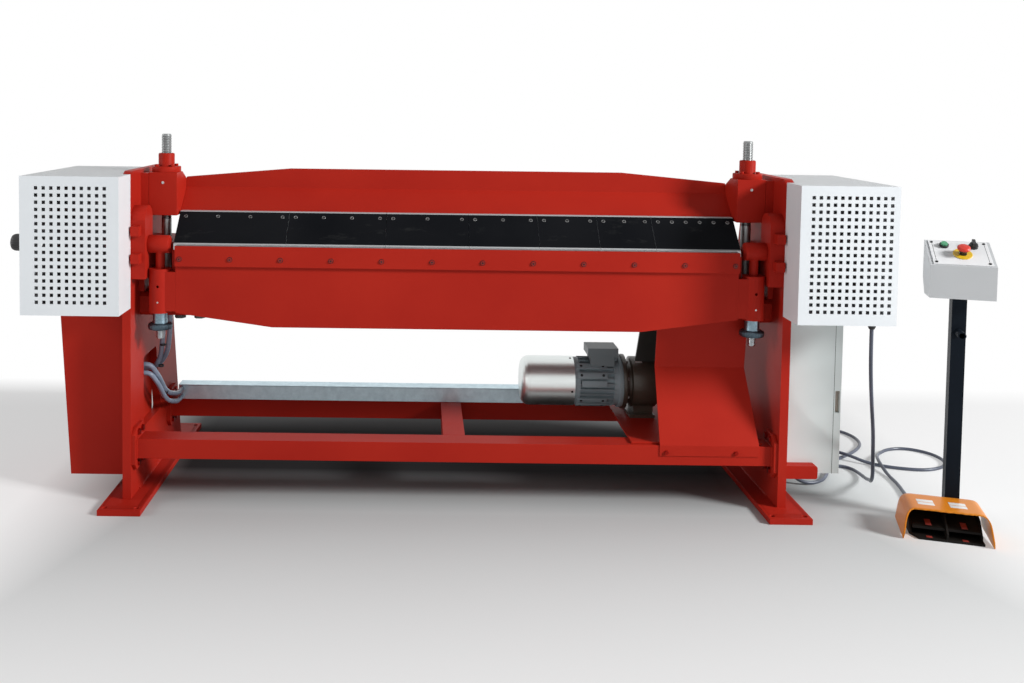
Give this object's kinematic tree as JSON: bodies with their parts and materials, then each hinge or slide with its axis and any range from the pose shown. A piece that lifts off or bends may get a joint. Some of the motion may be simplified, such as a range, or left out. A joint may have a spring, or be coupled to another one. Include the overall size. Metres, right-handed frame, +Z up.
{
  "type": "motorized sheet metal folder",
  "caption": "Motor-driven sheet metal folding machine with clamping beam, swinging folding beam, perforated end covers, motor gearbox and foot pedal control post.",
  "frame": {"origin": "on the floor, at the centre of the outer rectangle of anchor holes in the foot plates", "axes": "+Z up, +X to the operator's right along the beams, the operator stands at -Y"},
  "size_m": [3.6079, 1.2226, 1.316],
  "materials": {
    "red_paint": "satin machine paint",
    "white_sheet": "satin powder coat",
    "panel_sheet": "smooth printed sheet",
    "bright_steel": "ground",
    "dark_steel": "blackened",
    "galvanised": "dull zinc",
    "motor_shell": "painted casting",
    "cast_housing": "painted casting",
    "black_plastic": "fine grain",
    "cable_sheath": "smooth sheath",
    "orange_paint": "gloss paint",
    "stop_red": "gloss",
    "start_green": "gloss"
  },
  "bodies": {
    "frame": {"left_side_frame": "red_paint", "right_side_frame": "red_paint", "foot_plates": "red_paint", "front_stretcher": "red_paint", "rear_stretcher": "red_paint", "cross_member": "red_paint", "lower_beam": "red_paint", "bed_blade": "bright_steel", "cable_trunking": "galvanised", "conduits": "cable_sheath", "left_cover": "white_sheet", "left_cover_front": "white_sheet", "right_cover": "white_sheet", "right_cover_front": "white_sheet", "left_drive_box": "red_paint", "electric_cabinet": "white_sheet", "chain_guard": "red_paint", "motor": "motor_shell", "fan_cover": "motor_shell", "terminal_box": "motor_shell", "gearbox": "cast_housing", "chain_case": "dark_steel", "hinge_plates": "red_paint", "guide_strips": "red_paint", "spindle_gearboxes": "red_paint", "frame_bolts": "dark_steel", "pedestal_post": "dark_steel", "control_box": "white_sheet", "control_panel": "panel_sheet", "button_bezels": "black_plastic", "pedal_base": "black_plastic", "pedal_hood": "orange_paint", "cable_glands": "black_plastic", "cover_cable": "cable_sheath", "pedal_cable": "cable_sheath"},
    "clamping_beam": {"upper_beam": "red_paint", "end_blocks": "red_paint", "blade_segments": "dark_steel", "clamp_nuts": "red_paint"},
    "left_clamp_spindle": {"left_spindle": "bright_steel"},
    "right_clamp_spindle": {"right_spindle": "bright_steel"},
    "clamp_cross_shaft": {"clamp_shaft": "bright_steel"},
    "fold_carrier": {"fold_arms": "red_paint", "fold_gear": "dark_steel"},
    "fold_leaf": {"folding_beam": "red_paint", "folding_blade": "bright_steel", "front_strip": "red_paint", "strip_screws": "dark_steel", "adjuster_sleeves": "red_paint"},
    "left_adjuster_nut": {"left_hand_nut": "dark_steel"},
    "right_adjuster_nut": {"right_hand_nut": "dark_steel"},
    "fold_drive_shaft": {"fold_shaft": "bright_steel"},
    "angle_setting": {"angle_knob": "black_plastic"},
    "door": {"cabinet_door": "white_sheet"},
    "lock": {"door_lock": "bright_steel"},
    "stop_button": {"emergency_stop": "stop_red"},
    "start": {"start_button": "start_green"},
    "selector": {"mode_selector": "black_plastic"},
    "left_foot_switch": {"left_treadle": "black_plastic"},
    "right_foot_switch": {"right_treadle": "black_plastic"}
  },
  "joints": [
    {"name": "clamp_lift", "type": "slide", "parent": "frame", "child": "clamping_beam", "axis": [0, 0, 1], "range_m": [0, 0.11]},
    {"name": "left_spindle_turn", "type": "hinge", "parent": "frame", "child": "left_clamp_spindle", "pos_m": [-1.066, -0.2, 0.708], "axis": [0, 0, -1], "range_deg": [0, 6605]},
    {"name": "right_spindle_turn", "type": "hinge", "parent": "frame", "child": "right_clamp_spindle", "pos_m": [1.066, -0.2, 0.708], "axis": [0, 0, -1], "range_deg": [0, 6605]},
    {"name": "clamp_shaft_turn", "type": "hinge", "parent": "frame", "child": "clamp_cross_shaft", "pos_m": [0, -0.2, 0.686], "axis": [1, 0, 0], "range_deg": [0, 6605]},
    {"name": "fold_swing", "type": "hinge", "parent": "frame", "child": "fold_carrier", "pos_m": [0, -0.33, 0.925], "axis": [-1, 0, 0], "range_deg": [0, 135]},
    {"name": "fold_shaft_turn", "type": "hinge", "parent": "frame", "child": "fold_drive_shaft", "pos_m": [1, -0.157, 0.80596], "axis": [1, 0, 0], "range_deg": [0, 545]},
    {"name": "beam_height", "type": "slide", "parent": "fold_carrier", "child": "fold_leaf", "axis": [0, 0, 1], "range_m": [-0.008, 0]},
    {"name": "left_nut_turn", "type": "hinge", "parent": "fold_leaf", "child": "left_adjuster_nut", "pos_m": [-1.056, -0.33, 0.65], "axis": [0, 0, 1], "range_deg": [-580, 0]},
    {"name": "right_nut_turn", "type": "hinge", "parent": "fold_leaf", "child": "right_adjuster_nut", "pos_m": [1.056, -0.33, 0.65], "axis": [0, 0, 1], "range_deg": [-580, 0]},
    {"name": "angle_setting_turn", "type": "hinge", "parent": "frame", "child": "angle_setting", "pos_m": [-1.5, -0.33, 0.925], "axis": [-1, 0, 0], "range_deg": [0, 300]},
    {"name": "door_swing", "type": "hinge", "parent": "frame", "child": "door", "pos_m": [1.3875, 0.066, 0.4], "axis": [0, 0, 1], "range_deg": [0, 110]},
    {"name": "lock_turn", "type": "hinge", "parent": "door", "child": "lock", "pos_m": [1.39, -0.258, 0.375], "axis": [1, 0, 0], "range_deg": [0, 90]},
    {"name": "stop_press", "type": "slide", "parent": "frame", "child": "stop_button", "axis": [0.1347, 0.4697, -0.8725], "range_m": [0, 0.005]},
    {"name": "start_press", "type": "slide", "parent": "frame", "child": "start", "axis": [0.1347, 0.4697, -0.8725], "range_m": [0, 0.003], "stiffness_N_per_m": 400, "springref_m": -0.001},
    {"name": "selector_turn", "type": "hinge", "parent": "frame", "child": "selector", "pos_m": [1.77419, -0.43989, 0.96259], "axis": [-0.1347, -0.4697, 0.8725], "range_deg": [-45, 45]},
    {"name": "left_pedal_press", "type": "hinge", "parent": "frame", "child": "left_foot_switch", "pos_m": [1.66811, -0.4978, 0.056], "axis": [0.9613, -0.2756, 0], "range_deg": [0, 10], "stiffness_Nm_per_rad": 4, "springref_deg": -8.59},
    {"name": "right_pedal_press", "type": "hinge", "parent": "frame", "child": "right_foot_switch", "pos_m": [1.66811, -0.4978, 0.056], "axis": [0.9613, -0.2756, 0], "range_deg": [0, 10], "stiffness_Nm_per_rad": 4, "springref_deg": -8.59}
  ],
  "couplings": [
    {"joint": "left_spindle_turn", "follows": "clamp_lift", "rad_per_m": 1047.2},
    {"joint": "right_spindle_turn", "follows": "clamp_lift", "rad_per_m": 1047.2},
    {"joint": "clamp_shaft_turn", "follows": "clamp_lift", "rad_per_m": 1047.2},
    {"joint": "fold_shaft_turn", "follows": "fold_swing", "ratio": 4},
    {"joint": "left_nut_turn", "follows": "beam_height", "rad_per_m": 1256.6},
    {"joint": "right_nut_turn", "follows": "beam_height", "rad_per_m": 1256.6}
  ]
}
